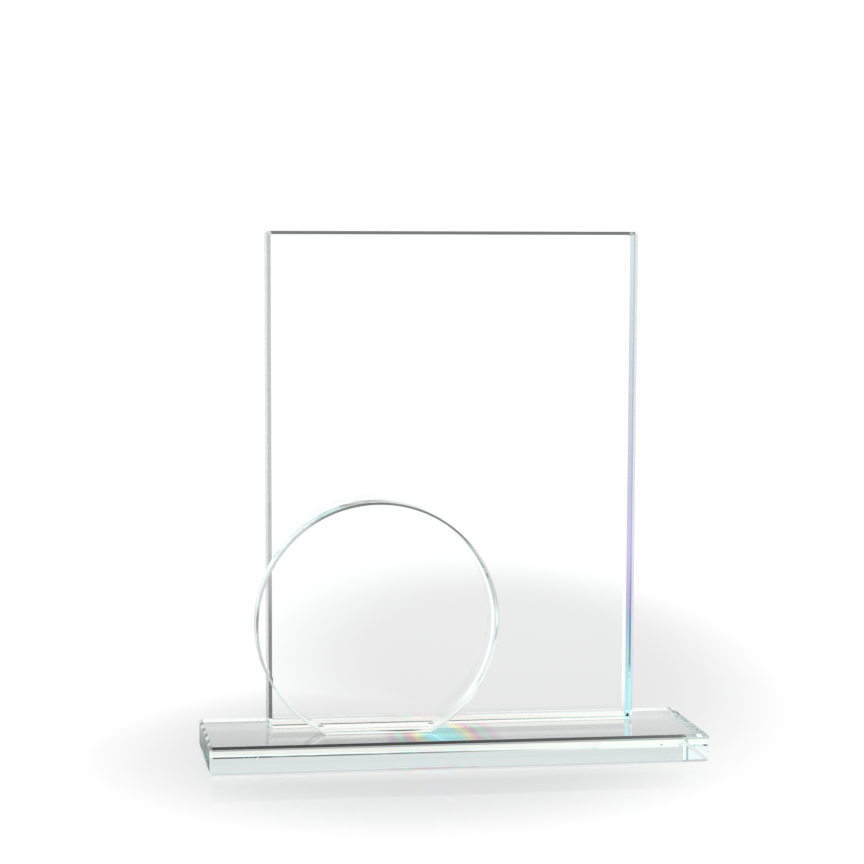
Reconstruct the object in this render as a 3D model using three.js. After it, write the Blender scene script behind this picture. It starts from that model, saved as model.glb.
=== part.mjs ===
// A crystal award: a clear glass slab, a tall clear glass plate standing on it, and a clear glass
// disc with a flat foot standing in front of the plate. Thin films of cured adhesive hold the two
// upright pieces. Millimetres. +X is right, +Y is towards the back, +Z is up. The origin is the
// middle of the slab's underside.
import * as THREE from 'three';

// Base slab: a flat block with every edge ground to a small 45 degree chamfer.
const SLAB = { width: 200, depth: 60, height: 11.2, chamfer: 1.1 };

// Upright plate, behind the middle of the slab.
const PLATE = { width: 150, height: 199.4, thickness: 15, chamfer: 1.3, middleX: 1.4, frontY: 4 };

// Round disc, cut flat below its middle, where it stands on the slab.
const DISC = { radius: 48.8, flatDrop: 44, thickness: 12, chamfer: 0.85, middleX: -31.2, frontY: -11.8 };

// Cured adhesive under each upright piece, set in a little from the edges of its foot.
const BOND = { thickness: 0.1, inset: 0.3 };

// Straight steps round the disc's rim.
const RIM_STEPS = 144;

const polishedGlass = (color) => new THREE.MeshStandardMaterial({
  color,
  roughness: 0.02,
  metalness: 0,
  transparent: true,
  opacity: 0.4,
});

const clearAdhesive = () => new THREE.MeshStandardMaterial({
  color: 0xf0f3ec,
  roughness: 0.2,
  metalness: 0,
  transparent: true,
  opacity: 0.6,
});

const named = (name, geometry, material) => {
  const mesh = new THREE.Mesh(geometry, material);
  mesh.name = name;
  return mesh;
};

// A rectangle about its middle, with its four corners cut at 45 degrees.
const cutCornerRectangle = (width, height, cut) => {
  const x = width / 2;
  const y = height / 2;
  const shape = new THREE.Shape();
  shape.moveTo(cut - x, -y);
  shape.lineTo(x - cut, -y);
  shape.lineTo(x, cut - y);
  shape.lineTo(x, y - cut);
  shape.lineTo(x - cut, y);
  shape.lineTo(cut - x, y);
  shape.lineTo(-x, y - cut);
  shape.lineTo(-x, cut - y);
  shape.closePath();
  return shape;
};

// A circle about its middle, with everything more than flatDrop below the middle cut away.
const flatFootedCircle = (radius, flatDrop) => {
  const footAngle = Math.asin(-flatDrop / radius);
  const shape = new THREE.Shape();
  shape.absarc(0, 0, radius, footAngle, Math.PI - footAngle, false);
  shape.closePath();
  return shape;
};

// An outline made solid from Z = 0 to Z = thickness, with a 45 degree chamfer round both faces.
const chamferedSolid = (outline, thickness, chamfer, curveSegments = 1) => {
  const geometry = new THREE.ExtrudeGeometry(outline, {
    depth: thickness - 2 * chamfer,
    bevelEnabled: true,
    bevelThickness: chamfer,
    bevelSize: chamfer,
    bevelOffset: -chamfer,
    bevelSegments: 1,
    curveSegments,
  });
  return geometry.translate(0, 0, chamfer);
};

// Turns a solid upright: its outline's up becomes +Z, and its front face lies at Y = 0.
const standUp = (geometry, thickness) => geometry.rotateX(Math.PI / 2).translate(0, thickness, 0);

// Height at which an upright piece's foot rests: on its film, on the slab.
const footHeight = SLAB.height + BOND.thickness;

const makeBaseSlab = () => {
  const outline = cutCornerRectangle(SLAB.width, SLAB.depth, SLAB.chamfer);
  const geometry = chamferedSolid(outline, SLAB.height, SLAB.chamfer);
  return named('base_slab', geometry, polishedGlass(0xdcece8));
};

const makeBackPlate = () => {
  const outline = cutCornerRectangle(PLATE.width, PLATE.height, PLATE.chamfer);
  const geometry = chamferedSolid(outline, PLATE.thickness, PLATE.chamfer);
  const plate = named('back_plate', standUp(geometry, PLATE.thickness), polishedGlass(0xe8f1f3));
  plate.position.set(PLATE.middleX, PLATE.frontY, footHeight + PLATE.height / 2);
  return plate;
};

const makeFrontDisc = () => {
  const outline = flatFootedCircle(DISC.radius, DISC.flatDrop);
  const geometry = chamferedSolid(outline, DISC.thickness, DISC.chamfer, RIM_STEPS);
  const disc = named('front_disc', standUp(geometry, DISC.thickness), polishedGlass(0xe6f1ef));
  disc.position.set(DISC.middleX, DISC.frontY, footHeight + DISC.flatDrop);
  return disc;
};

// A film under a foot that is width wide, for a piece that is thick and chamfered as given.
const makeBondFilm = (name, width, piece) => {
  const depth = piece.thickness - 2 * piece.chamfer - 2 * BOND.inset;
  const geometry = new THREE.BoxGeometry(width - 2 * BOND.inset, depth, BOND.thickness);
  const film = named(name, geometry, clearAdhesive());
  film.position.set(piece.middleX, piece.frontY + piece.thickness / 2, SLAB.height + BOND.thickness / 2);
  return film;
};

const discFootWidth = 2 * Math.sqrt(DISC.radius ** 2 - DISC.flatDrop ** 2);

const group = new THREE.Group();
group.add(
  makeBaseSlab(),
  makeBackPlate(),
  makeFrontDisc(),
  makeBondFilm('plate_bond_film', PLATE.width - 2 * PLATE.chamfer, PLATE),
  makeBondFilm('disc_bond_film', discFootWidth, DISC),
);

export default group;
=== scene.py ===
"""Crystal award: three polished pieces of clear glass on a pale studio floor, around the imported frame."""
import itertools
import math

import bmesh
import bpy
from mathutils import Matrix, Vector


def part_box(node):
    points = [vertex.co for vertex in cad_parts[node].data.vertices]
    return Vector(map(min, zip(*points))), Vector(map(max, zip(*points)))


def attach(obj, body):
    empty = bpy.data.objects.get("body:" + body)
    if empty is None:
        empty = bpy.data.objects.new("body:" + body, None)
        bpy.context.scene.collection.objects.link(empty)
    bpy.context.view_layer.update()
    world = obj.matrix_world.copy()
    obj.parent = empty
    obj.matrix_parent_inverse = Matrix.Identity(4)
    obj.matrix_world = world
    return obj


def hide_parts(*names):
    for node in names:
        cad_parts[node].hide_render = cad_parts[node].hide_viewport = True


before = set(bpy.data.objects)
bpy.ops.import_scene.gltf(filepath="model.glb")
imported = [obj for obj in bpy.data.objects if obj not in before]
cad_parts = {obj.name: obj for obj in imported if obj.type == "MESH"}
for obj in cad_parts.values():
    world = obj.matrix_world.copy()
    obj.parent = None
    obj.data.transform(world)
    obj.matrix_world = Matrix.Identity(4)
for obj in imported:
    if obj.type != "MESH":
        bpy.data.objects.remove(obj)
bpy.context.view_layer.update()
MM = 0.001

# Glass dimensions that the CAD nodes' boxes don't tell
SLAB_CHAMFER = 1.1 * MM
BACK_FOOT_CHAMFER = 1.5 * MM
BACK_TOP_CHAMFER = 0.5 * MM
PLATE_CHAMFER = 1.3 * MM
DISC_CHAMFER = 0.85 * MM
ARRIS = 0.12 * MM            # radius of the softened line where two polished faces meet
RIM_STEPS = 320              # steps round the disc's rim
ARC_STEPS = 3                # steps round an arris or an outline's corner
# How far the refracting edge reaches onto a front face: at the left and foot, then at the right and top
PLATE_ZONE = (0.3 * MM, 3.1 * MM), (3.6 * MM, 0.3 * MM)
DISC_ZONE = (0.3 * MM, 2.5 * MM), (2.5 * MM, 0.3 * MM)
FILM_GAP = 0.02 * MM         # air left above and below an adhesive film
FACES_UP = 0.99              # least upright share of the normal of the slab's top and bottom
FACES_BACK_RIGHT = 0.5       # least share to the right and to the back of the plate's right back chamfer


# ---------------------------------------------------------------- geometry

def arc_between(start, end, steps):
    """Angles from start to end, both included."""
    return [start + (end - start) * i / steps for i in range(steps + 1)]


def rounded_polygon(corners, inset, radius):
    """Points and outward normals of a convex polygon, pulled in by inset, with every corner rounded.

    corners run anticlockwise. Each corner gives the same number of points at any inset, so that
    outlines of different insets join up point by point.
    """
    count = len(corners)
    normals = []
    for i in range(count):
        along = corners[(i + 1) % count] - corners[i]
        normals.append(Vector((along.y, -along.x)).normalized())
    points = []
    for i in range(count):
        before, after = normals[i - 1], normals[i]
        half_turn = before.angle(after) / 2
        bisector = (before + after).normalized()
        centre = corners[i] - bisector * ((inset + radius) / math.cos(half_turn))
        first = math.atan2(before.y, before.x)
        for angle in arc_between(first, first + 2 * half_turn, ARC_STEPS):
            normal = Vector((math.cos(angle), math.sin(angle)))
            points.append((centre + normal * radius, normal))
    return points


def cut_corner_rectangle(low, high, cut):
    """Outline of a rectangle with its four corners cut at 45 degrees, as a function of the inset."""
    corners = [
        Vector(c) for c in (
            (low.x + cut, low.y), (high.x - cut, low.y), (high.x, low.y + cut), (high.x, high.y - cut),
            (high.x - cut, high.y), (low.x + cut, high.y), (low.x, high.y - cut), (low.x, low.y + cut),
        )
    ]
    return lambda inset: rounded_polygon(corners, inset, ARRIS)


def flat_footed_circle(centre, radius, foot):
    """Outline of a circle cut straight across at the height foot, as a function of the inset."""
    def outline(inset):
        r = radius - inset
        drop = centre.y - foot - inset
        # Each corner of the flat is an arc of ARRIS that touches both the flat and the circle.
        corner_y = -drop + ARRIS
        corner_x = math.sqrt((r - ARRIS) ** 2 - corner_y ** 2)
        touch = math.atan2(corner_y, corner_x)
        points = []
        for angle in arc_between(touch, math.pi - touch, RIM_STEPS):
            normal = Vector((math.cos(angle), math.sin(angle)))
            points.append((centre + normal * r, normal))
        down = 1.5 * math.pi
        for side, start, end in ((-1, math.pi - touch, down), (1, down, 2 * math.pi + touch)):
            middle = centre + Vector((side * corner_x, corner_y))
            steps = arc_between(start, end, 2 * ARC_STEPS)
            for angle in steps[1:] if side < 0 else steps[:-1]:
                normal = Vector((math.cos(angle), math.sin(angle)))
                points.append((middle + normal * ARRIS, normal))
        return points
    return outline


def edge_profile(thickness, chamfer):
    """Stations (depth, inset, tilt) up a chamfered edge, from the first face to the last one.

    tilt is the surface's angle from the outline's own normal: -90 degrees on the first face, 0 on the
    side and 90 degrees on the last face. Each arris between flat bands is an arc of radius ARRIS.
    """
    eighth = math.pi / 4
    reach = ARRIS * math.tan(eighth / 2)
    centres = (
        (ARRIS, chamfer + reach, -2 * eighth),
        (chamfer + reach, ARRIS, -eighth),
        (thickness - chamfer - reach, ARRIS, 0.0),
        (thickness - ARRIS, chamfer + reach, eighth),
    )
    return [
        (depth + ARRIS * math.sin(tilt), inset - ARRIS * math.cos(tilt), tilt)
        for depth, inset, start in centres
        for tilt in arc_between(start, start + eighth, ARC_STEPS)
    ]


def shrunk(points, zone):
    """A ring's points squeezed into a smaller box, which zone's (left, foot) and (right, top) give."""
    low = Vector((min(p.x for p in points), min(p.y for p in points)))
    high = Vector((max(p.x for p in points), max(p.y for p in points)))
    new_low, new_high = low + Vector(zone[0]), high - Vector(zone[1])
    size, new_size = high - low, new_high - new_low
    return [
        Vector((
            new_low.x + (p.x - low.x) / size.x * new_size.x,
            new_low.y + (p.y - low.y) / size.y * new_size.y,
        ))
        for p in points
    ]


def glass_solid(name, outline, profile, place, turn, zone=None):
    """A closed solid from an outline and a profile.

    place puts (point, depth) in the frame and turn does the same for a direction. The attribute
    "pane" is 1 on the two flat faces, but for the zone by the rim of the last one, and 0 elsewhere.
    """
    vertices, normals, faces, panes = [], [], [], []
    for depth, inset, tilt in profile:
        for point, normal in outline(inset):
            vertices.append(place(point, depth))
            normals.append(turn(normal * math.cos(tilt), math.sin(tilt)))
    size = len(outline(0.0))
    rings = len(profile)
    if zone:
        depth, inset, tilt = profile[-1]
        inner = shrunk([point for point, normal in outline(inset)], zone)
        vertices += [place(point, depth) for point in inner]
        normals += [turn(Vector((0, 0)), 1.0)] * size
        rings += 1
    for ring in range(rings - 1):
        for i in range(size):
            a, b = ring * size + i, ring * size + (i + 1) % size
            faces.append((a, b, b + size, a + size))
            panes.append(0.0)
    faces.append(tuple(reversed(range(size))))
    faces.append(tuple(range((rings - 1) * size, rings * size)))
    panes += [1.0, 1.0]
    mesh = bpy.data.meshes.new(name)
    mesh.from_pydata(vertices, [], faces)
    mesh.attributes.new("pane", "FLOAT", "FACE").data.foreach_set("value", panes)
    mesh.polygons.foreach_set("use_smooth", [True] * len(faces))
    mesh.update()
    mesh.normals_split_custom_set_from_vertices(normals)
    piece = bpy.data.objects.new(name, mesh)
    bpy.context.scene.collection.objects.link(piece)
    return piece


def standing(back_y):
    """Placing for a piece that stands up: the outline is in X and Z, and depth runs forward from back_y."""
    def place(point, depth):
        return Vector((point.x, back_y - depth, point.y))

    def turn(flat, across):
        return Vector((flat.x, -across, flat.y))
    return place, turn


def lying(bottom_z):
    """Placing for a piece that lies down: the outline is in X and Y, and depth runs up along Z."""
    def place(point, depth):
        return Vector((point.x, point.y, bottom_z + depth))

    def turn(flat, across):
        return Vector((flat.x, flat.y, across))
    return place, turn


def sliced(shape, point, normal):
    """Slices off what lies beyond a plane, and closes the cut with a flat face."""
    parts = list(shape.verts) + list(shape.edges) + list(shape.faces)
    cut = bmesh.ops.bisect_plane(shape, geom=parts, plane_co=point, plane_no=normal, clear_outer=True)
    rim = [part for part in cut["geom_cut"] if isinstance(part, bmesh.types.BMEdge)]
    bmesh.ops.contextual_create(shape, geom=rim)


def make_slab(name, node):
    """A block with every edge ground off at 45 degrees, unevenly along its two long back edges."""
    low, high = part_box(node)
    middle, half = (low + high) / 2, (high - low) / 2
    block = Matrix.Translation(middle) @ Matrix.Diagonal((*half * 2, 1))
    uneven = {(0, 1, -1): BACK_FOOT_CHAMFER, (0, 1, 1): BACK_TOP_CHAMFER}
    shape = bmesh.new()
    bmesh.ops.create_cube(shape, size=1.0, matrix=block)
    for x, y, z in itertools.product((-1, 0, 1), repeat=3):
        if abs(x) + abs(y) + abs(z) == 2:
            chamfer = uneven.get((x, y, z), SLAB_CHAMFER)
            away = Vector((x, y, z))
            corner = middle + Vector(a * b for a, b in zip(away, half))
            sliced(shape, corner - away * chamfer / 2, away)
    bmesh.ops.bevel(shape, geom=list(shape.edges), offset=ARRIS / 2, segments=2, affect="EDGES", profile=0.5)
    mesh = bpy.data.meshes.new(name)
    shape.to_mesh(mesh)
    shape.free()
    pane = [float(abs(face.normal.z) > FACES_UP) for face in mesh.polygons]
    mesh.attributes.new("pane", "FLOAT", "FACE").data.foreach_set("value", pane)
    slab = bpy.data.objects.new(name, mesh)
    bpy.context.scene.collection.objects.link(slab)
    return slab


def make_plate(name, node):
    low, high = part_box(node)
    outline = cut_corner_rectangle(low.xz, high.xz, PLATE_CHAMFER)
    profile = edge_profile(high.y - low.y, PLATE_CHAMFER)
    plate = glass_solid(name, outline, profile, *standing(high.y), zone=PLATE_ZONE)
    prism = [float(min(face.normal.x, face.normal.y) > FACES_BACK_RIGHT) for face in plate.data.polygons]
    plate.data.attributes.new("prism", "FLOAT", "FACE").data.foreach_set("value", prism)
    return plate


def make_disc(name, node):
    low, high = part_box(node)
    radius = (high.x - low.x) / 2
    centre = Vector(((low.x + high.x) / 2, high.z - radius))
    outline = flat_footed_circle(centre, radius, low.z)
    profile = edge_profile(high.y - low.y, DISC_CHAMFER)
    return glass_solid(name, outline, profile, *standing(high.y), zone=DISC_ZONE)


def make_film(name, node):
    """An adhesive film that fills its joint but for a hair of air, with a rounded rim."""
    low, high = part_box(node)
    thickness = high.z - low.z - 2 * FILM_GAP
    half = thickness / 2
    corners = [Vector(c) for c in ((low.x, low.y), (high.x, low.y), (high.x, high.y), (low.x, high.y))]
    profile = [
        (half + half * math.sin(tilt), half - half * math.cos(tilt), tilt)
        for tilt in arc_between(-math.pi / 2, math.pi / 2, 2 * ARC_STEPS)
    ]
    return glass_solid(
        name, lambda inset: rounded_polygon(corners, inset, 3 * ARRIS), profile, *lying(low.z + FILM_GAP)
    )


# ---------------------------------------------------------------- materials

class Tree:
    """A material's or world's node tree, with one call for each node."""

    def __init__(self, owner):
        owner.use_nodes = True
        self.tree = owner.node_tree
        self.tree.nodes.clear()

    def add(self, kind, inputs=None, **settings):
        node = self.tree.nodes.new("ShaderNode" + kind)
        for name, value in settings.items():
            setattr(node, name, value)
        for name, value in (inputs or {}).items():
            if isinstance(value, bpy.types.NodeSocket):
                self.tree.links.new(value, node.inputs[name])
            else:
                node.inputs[name].default_value = value
        return node

    def maths(self, operation, a, b=0.0):
        return self.add("Math", {0: a, 1: b}, operation=operation).outputs[0]

    def smooth(self, value, low, high):
        """0 below low, 1 above high and a smooth step between."""
        inputs = {"Value": value, "From Min": low, "From Max": high}
        return self.add("MapRange", inputs, interpolation_type="SMOOTHSTEP").outputs["Result"]

    def mix(self, factor, first, second):
        return self.add("MixShader", {0: factor, 1: first, 2: second}).outputs[0]

    def mix_colour(self, factor, first, second):
        node = self.add("Mix", data_type="RGBA")
        for socket, value in ((node.inputs[0], factor), (node.inputs[6], first), (node.inputs[7], second)):
            if isinstance(value, bpy.types.NodeSocket):
                self.tree.links.new(value, socket)
            else:
                socket.default_value = value
        return node.outputs[2]


GLASS_IOR = 1.52
GLASS_COLOUR, GLASS_DENSITY = (0.0, 0.79, 0.71, 1), 2.0
HAZE_SCALE, HAZE_ROUGHNESS = 140.0, 0.012
FAR_EDGE_SHADE_AND_TINT = (0.74, 0.86, 0.83, 1)   # painted shade with the glass's green tint, on edges that the camera sees from inside the glass, in place of their refraction
MIRROR_TINT = (0.85, 0.7, 0.7, 1)       # offsets the glass's own colour in what a face mirrors
LEAST_SHINE, GRAZING_SHINE = 0.08, 0.9  # what a face mirrors head on, and how much more when grazed
GRAZED = 0.60, 0.72                     # Facing at which a pane stops letting the camera straight through
ADHESIVE_IOR, ADHESIVE_COLOUR, ADHESIVE_ROUGHNESS = 1.49, (0.98, 0.985, 0.97, 1), 0.02
CLEAR = (1, 1, 1, 1)

# Colours that light is split into: (height up the plate or radius from the rings' middle in mm, colour)
EDGE_SPECTRUM = (
    (10, (0.64, 1.1, 1.15)), (36, (0.58, 1.0, 1.2)), (52, (0.52, 0.72, 1.1)), (59, (0.72, 0.62, 1.1)),
    (84, (0.9, 0.72, 1.18)), (101, (0.8, 0.72, 1.05)), (150, (0.85, 0.83, 0.95)), (210, (1.0, 1.0, 1.05)),
)
RING_SPECTRUM = (
    (0, (0.66, 1.1, 1.16)), (6.5, (0.66, 1.1, 1.16)), (10, (1.12, 1.1, 0.74)), (13.5, (1.08, 0.7, 0.86)),
    (17, (0.74, 1.06, 0.9)), (20, (1.0, 0.82, 0.94)), (24, (1, 1, 1)),
)
RINGS_X, RINGS_Y = -6.5 * MM, -20.0 * MM
RINGS_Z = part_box("base_slab")[1].z
RINGS_SQUEEZE = 0.3          # how much less the rings' radius grows with depth than with width


def spectrum(tree, value, colours):
    """Colours along a value in metres."""
    last = colours[-1][0]
    ramp = tree.add("ValToRGB", {"Fac": tree.maths("DIVIDE", value, last * MM)})
    elements = ramp.color_ramp.elements
    while len(elements) < len(colours):
        elements.new(1.0)
    for element, (stop, rgb) in zip(elements, colours):
        element.position = stop / last
        element.color = rgb + (1.0,)
    return ramp.outputs["Color"]


def split_light(tree, place):
    """The tint of split light: up the plate's right back chamfer, and in rings on the slab's top."""
    along = tree.add("SeparateXYZ", {"Vector": place}).outputs
    edge = tree.add("Attribute", attribute_name="prism").outputs["Fac"]
    tint = tree.mix_colour(edge, CLEAR, spectrum(tree, along["Z"], EDGE_SPECTRUM))
    across = tree.maths("SUBTRACT", along["X"], RINGS_X)
    deep = tree.maths("MULTIPLY", tree.maths("SUBTRACT", along["Y"], RINGS_Y), RINGS_SQUEEZE)
    flat = tree.add("CombineXYZ", {"X": across, "Y": deep}).outputs[0]
    radius = tree.add("VectorMath", {0: flat}, operation="LENGTH").outputs["Value"]
    off_top = tree.maths("ABSOLUTE", tree.maths("SUBTRACT", along["Z"], RINGS_Z))
    on_top = tree.maths("LESS_THAN", off_top, FILM_GAP)
    return tree.mix_colour(on_top, tint, spectrum(tree, radius, RING_SPECTRUM))


def glass_material(name):
    """Clear low-iron glass. Its panes let the camera straight through, but not at a grazing angle."""
    material = bpy.data.materials.new(name)
    tree = Tree(material)
    place = tree.add("TexCoord").outputs["Object"]
    haze = tree.add("TexNoise", {"Vector": place, "Scale": HAZE_SCALE, "Detail": 4.0}).outputs["Fac"]
    roughness = tree.maths("MULTIPLY", tree.smooth(haze, 0.5, 0.8), HAZE_ROUGHNESS)
    polish = {"Roughness": roughness, "IOR": GLASS_IOR, "Color": split_light(tree, place)}
    bent = tree.add("BsdfGlass", polish).outputs[0]
    pane = tree.add("Attribute", attribute_name="pane").outputs["Fac"]
    inside = tree.add("NewGeometry").outputs["Backfacing"]
    # Edges that a straight camera ray meets from inside get a painted shade and green tint instead of
    # bending the view
    far_edge_shade_and_tint = tree.mix_colour(pane, FAR_EDGE_SHADE_AND_TINT, CLEAR)
    straight = tree.add("BsdfTransparent", {"Color": far_edge_shade_and_tint}).outputs[0]
    mirror = tree.add("BsdfGlossy", {"Roughness": 0.0, "Color": MIRROR_TINT}).outputs[0]
    facing = tree.add("LayerWeight", {"Blend": 0.5}).outputs["Facing"]
    grazing = tree.maths("MULTIPLY", tree.maths("POWER", facing, 5.0), GRAZING_SHINE)
    shine = tree.maths("ADD", LEAST_SHINE, grazing)
    outside = tree.maths("SUBTRACT", 1.0, inside)
    clear = tree.mix(tree.maths("MULTIPLY", shine, outside), straight, mirror)
    head_on = tree.maths("SUBTRACT", 1.0, tree.smooth(facing, *GRAZED))
    camera = tree.add("LightPath").outputs["Is Camera Ray"]
    entered = tree.maths("MAXIMUM", inside, tree.maths("MULTIPLY", head_on, pane))
    surface = tree.mix(tree.maths("MULTIPLY", camera, entered), bent, clear)
    depth = {"Color": GLASS_COLOUR, "Density": GLASS_DENSITY}
    absorption = tree.add("VolumeAbsorption", depth).outputs[0]
    tree.add("OutputMaterial", {"Surface": surface, "Volume": absorption})
    return material


def adhesive_material():
    material = bpy.data.materials.new("cured_adhesive")
    tree = Tree(material)
    cured = {"Roughness": ADHESIVE_ROUGHNESS, "IOR": ADHESIVE_IOR, "Color": ADHESIVE_COLOUR}
    surface = tree.add("BsdfGlass", cured).outputs[0]
    tree.add("OutputMaterial", {"Surface": surface})
    return material


# ---------------------------------------------------------------- studio

# The light tent's walls, as panels stacked from below: (elevation of the panel's top edge, tone).
# Round figures. The dark panels are what the polished edges show as lines.
BACK_WALL = (
    (-45, 0.5), (-35, 0.06), (-25, 0.2), (-13, 0.7), (-11, 0.2), (10, 1.0), (16, 0.75), (28, 1.0),
    (34, 0.35), (90, 1.2),
)
RIGHT_WALL = ((-50, 0.7), (-28, 0.3), (-12, 0.65), (-8, 0.15), (3, 0.5), (15, 0.8), (90, 1.0))
LEFT_WALL = ((-45, 0.6), (-8, 0.3), (0, 0.7), (9, 0.5), (90, 1.0))
BACK_LEFT_WALL = ((-12, 0.6), (7, 0.75), (90, 1.1))
FRONT_WALL = ((-50, 0.6), (-24, 0.35), (-13, 0.9), (-6, 1.3), (5, 1.6), (14, 0.6), (90, 1.0))
SOFT_EDGE = 0.8              # half the width of the step between two panels, in degrees
# Where one wall gives way to the next, in degrees to either side of straight back
TO_RIGHT, TO_BACK_LEFT, TO_LEFT, TO_FRONT = (14.0, 24.0), (8.0, 20.0), (42.0, 50.0), (84.0, 112.0)
# The upper light's colour and the dark ceiling's tone, each with the heights that it sets in between
WARM, WARM_FROM = (1.06, 1.0, 0.94, 1), (0.2, 0.4)
CEILING, CEILING_FROM = 0.12, (0.955, 0.975)
BRIGHTEST = 2.0              # tone at the top of a colour ramp's range
WHITE = 1.05                 # what the camera sees as the backdrop and the far floor


def wall_light(tree, up, panels):
    """A wall's tone at each height, with a soft step from each panel to the one above it."""
    stops = [(-90.0, panels[0][1])]
    for (top, tone), (next_top, next_tone) in zip(panels, panels[1:]):
        stops += [(top - SOFT_EDGE, tone), (top + SOFT_EDGE, next_tone)]
    stops.append((90.0, panels[-1][1]))
    height = tree.add("MapRange", {"Value": up, "From Min": -1.0, "From Max": 1.0}).outputs["Result"]
    ramp = tree.add("ValToRGB", {"Fac": height})
    elements = ramp.color_ramp.elements
    while len(elements) < len(stops):
        elements.new(1.0)
    for element, (elevation, tone) in zip(elements, stops):
        element.position = (math.sin(math.radians(elevation)) + 1) / 2
        element.color = (tone / BRIGHTEST,) * 3 + (1.0,)
    return ramp.outputs["Color"]


def make_world():
    """A light tent: plain white to the camera, with the walls above for what the glass bends and mirrors."""
    world = bpy.data.worlds.new("studio")
    bpy.context.scene.world = world
    tree = Tree(world)
    along = tree.add("SeparateXYZ", {"Vector": tree.add("TexCoord").outputs["Generated"]}).outputs
    azimuth = tree.maths("DEGREES", tree.maths("ARCTAN2", along["X"], along["Y"]))
    from_right = tree.smooth(azimuth, *TO_RIGHT)
    leftward = tree.maths("MULTIPLY", azimuth, -1.0)
    from_back_left = tree.smooth(leftward, *TO_BACK_LEFT)
    from_left = tree.smooth(leftward, *TO_LEFT)
    from_front = tree.smooth(tree.maths("ABSOLUTE", azimuth), *TO_FRONT)
    tone = wall_light(tree, along["Z"], BACK_WALL)
    sides = (
        (from_right, RIGHT_WALL), (from_back_left, BACK_LEFT_WALL), (from_left, LEFT_WALL),
        (from_front, FRONT_WALL),
    )
    for share, panels in sides:
        tone = tree.mix_colour(share, tone, wall_light(tree, along["Z"], panels))
    warm = tree.mix_colour(tree.smooth(along["Z"], *WARM_FROM), CLEAR, WARM)
    tone = tree.add("VectorMath", {0: tone, 1: warm}, operation="MULTIPLY").outputs[0]
    ceiling = (CEILING / BRIGHTEST,) * 3 + (1,)
    tone = tree.mix_colour(tree.smooth(along["Z"], *CEILING_FROM), tone, ceiling)
    camera = tree.add("LightPath").outputs["Is Camera Ray"]
    seen = tree.mix_colour(camera, tone, (WHITE / BRIGHTEST,) * 3 + (1,))
    background = tree.add("Background", {"Color": seen, "Strength": BRIGHTEST}).outputs[0]
    tree.add("OutputWorld", {"Surface": background})


# Painted soft shadows on the floor, darkening its emission where no lamp casts them: middle x and y, half
# width, half depth, and the lean to the right with depth
PAINTED_FLOOR_SHADOWS = ((-0.01, 0.02, 0.11, 0.13, 0.1), (0.07, 0.24, 0.1, 0.28, 0.1))
PAINTED_SHADOW_COLOUR = (0.80, 0.80, 0.803, 1)
SHADE_REACH = 0.6, 1.5       # where a shade starts to fade and where it ends, in half widths from its middle
FLOOR_SIZE = 20.0
FLOOR_DROP = 0.2 * MM        # how far the floor lies below the slab
FLOOR_GLOSS, FLOOR_ROUGHNESS = 0.14, 0.06


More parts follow.
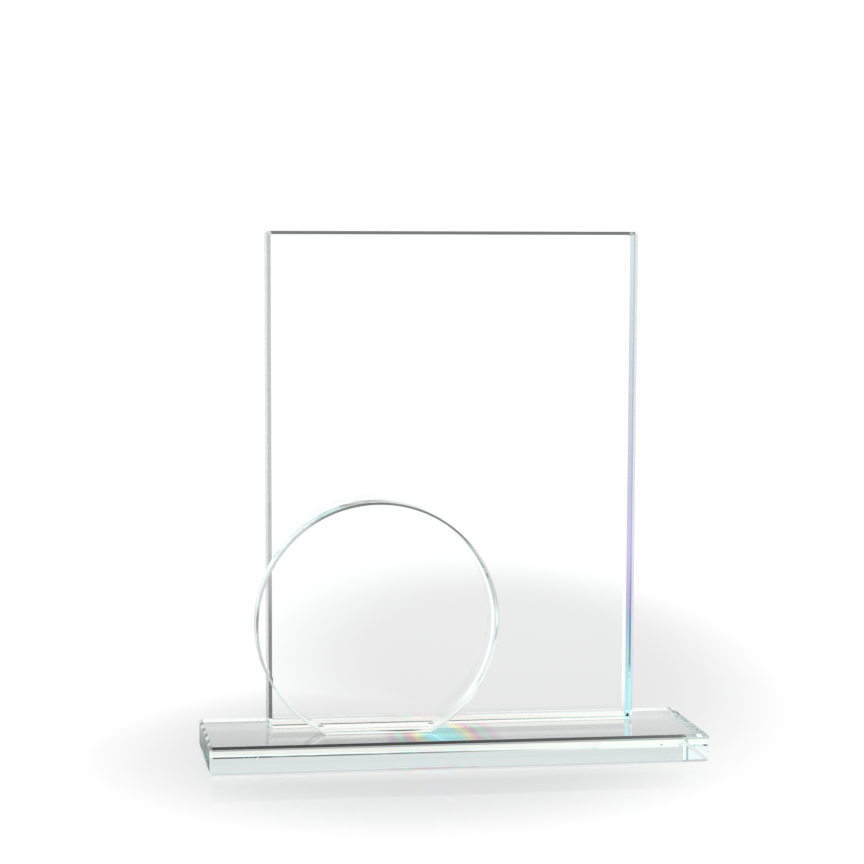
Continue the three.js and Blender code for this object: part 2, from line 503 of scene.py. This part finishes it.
def make_floor():
    mesh = bpy.data.meshes.new("floor")
    corners = [(x * FLOOR_SIZE, y * FLOOR_SIZE, 0) for x, y in ((-1, -1), (1, -1), (1, 1), (-1, 1))]
    mesh.from_pydata(corners, [], [(0, 1, 2, 3)])
    floor = bpy.data.objects.new("floor", mesh)
    bpy.context.scene.collection.objects.link(floor)
    floor.location.z = -FLOOR_DROP
    floor.visible_glossy = False
    floor.visible_transmission = False
    floor.visible_shadow = False
    material = bpy.data.materials.new("floor")
    tree = Tree(material)
    place = tree.add("TexCoord").outputs["Object"]
    along = tree.add("SeparateXYZ", {"Vector": place}).outputs
    shade = 0.0
    for centre_x, centre_y, half_width, half_depth, lean in PAINTED_FLOOR_SHADOWS:
        far = tree.maths("SUBTRACT", along["Y"], centre_y)
        across = tree.maths("SUBTRACT", along["X"], centre_x)
        wide = tree.maths("SUBTRACT", across, tree.maths("MULTIPLY", far, lean))
        spot = {"X": tree.maths("DIVIDE", wide, half_width), "Y": tree.maths("DIVIDE", far, half_depth)}
        flat = tree.add("CombineXYZ", spot).outputs[0]
        reach = tree.add("VectorMath", {0: flat}, operation="LENGTH").outputs["Value"]
        spot_shade = tree.maths("SUBTRACT", 1.0, tree.smooth(reach, *SHADE_REACH))
        shade = tree.maths("MAXIMUM", shade, spot_shade)
    # The floor's emission is darkened inside the painted shadows, and only there does the floor take some
    # gloss
    colour = tree.mix_colour(shade, (WHITE,) * 3 + (1,), PAINTED_SHADOW_COLOUR)
    matt = tree.add("Emission", {"Color": colour, "Strength": 1.0}).outputs[0]
    gloss = tree.add("BsdfGlossy", {"Roughness": FLOOR_ROUGHNESS, "Color": CLEAR}).outputs[0]
    surface = tree.mix(tree.maths("MULTIPLY", shade, FLOOR_GLOSS), matt, gloss)
    tree.add("OutputMaterial", {"Surface": surface})
    mesh.materials.append(material)


CAMERA_PLACE = Vector((-170.41, -1040.25, 215.85)) * MM
CAMERA_YAW, CAMERA_PITCH, CAMERA_ROLL = 8.865, -6.536, 0.196     # degrees
CAMERA_LENS, CAMERA_SENSOR, CAMERA_SHIFT = 110.05, 36.0, 0.1028


def make_camera():
    """The camera stands a metre in front, a little to the left of the award and above it."""
    yaw, pitch, roll = (math.radians(v) for v in (CAMERA_YAW, CAMERA_PITCH, CAMERA_ROLL))
    forward = Vector((math.sin(yaw) * math.cos(pitch), math.cos(yaw) * math.cos(pitch), math.sin(pitch)))
    level = Vector((math.cos(yaw), -math.sin(yaw), 0.0))
    right = Matrix.Rotation(-roll, 3, forward) @ level
    up = right.cross(forward)
    turned = Matrix((right, up, -forward)).transposed().to_4x4()
    turned.translation = CAMERA_PLACE
    data = bpy.data.cameras.new("camera")
    data.sensor_width = CAMERA_SENSOR
    data.lens = CAMERA_LENS
    data.shift_y = CAMERA_SHIFT
    data.clip_start = 0.01
    camera = bpy.data.objects.new("camera", data)
    camera.matrix_world = turned
    bpy.context.scene.collection.objects.link(camera)
    bpy.context.scene.camera = camera


# ---------------------------------------------------------------- assembly

glass = glass_material("clear_glass")
adhesive = adhesive_material()
pieces = (
    (make_slab("slab", "base_slab"), "base_slab", "base_glass", glass),
    (make_plate("plate", "back_plate"), "back_plate", "plate_glass", glass),
    (make_disc("disc", "front_disc"), "front_disc", "disc_glass", glass),
    (make_film("plate_film", "plate_bond_film"), "plate_bond_film", "cured_adhesive", adhesive),
    (make_film("disc_film", "disc_bond_film"), "disc_bond_film", "cured_adhesive", adhesive),
)
for piece, node, slot, material in pieces:
    piece.data.materials.append(material)
    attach(piece, "root")
    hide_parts(node)

make_world()
make_floor()
make_camera()
scene = bpy.context.scene
scene.view_settings.view_transform = "Standard"
scene.cycles.max_bounces = 24
scene.cycles.transmission_bounces = 24
scene.cycles.glossy_bounces = 16
scene.cycles.transparent_max_bounces = 24
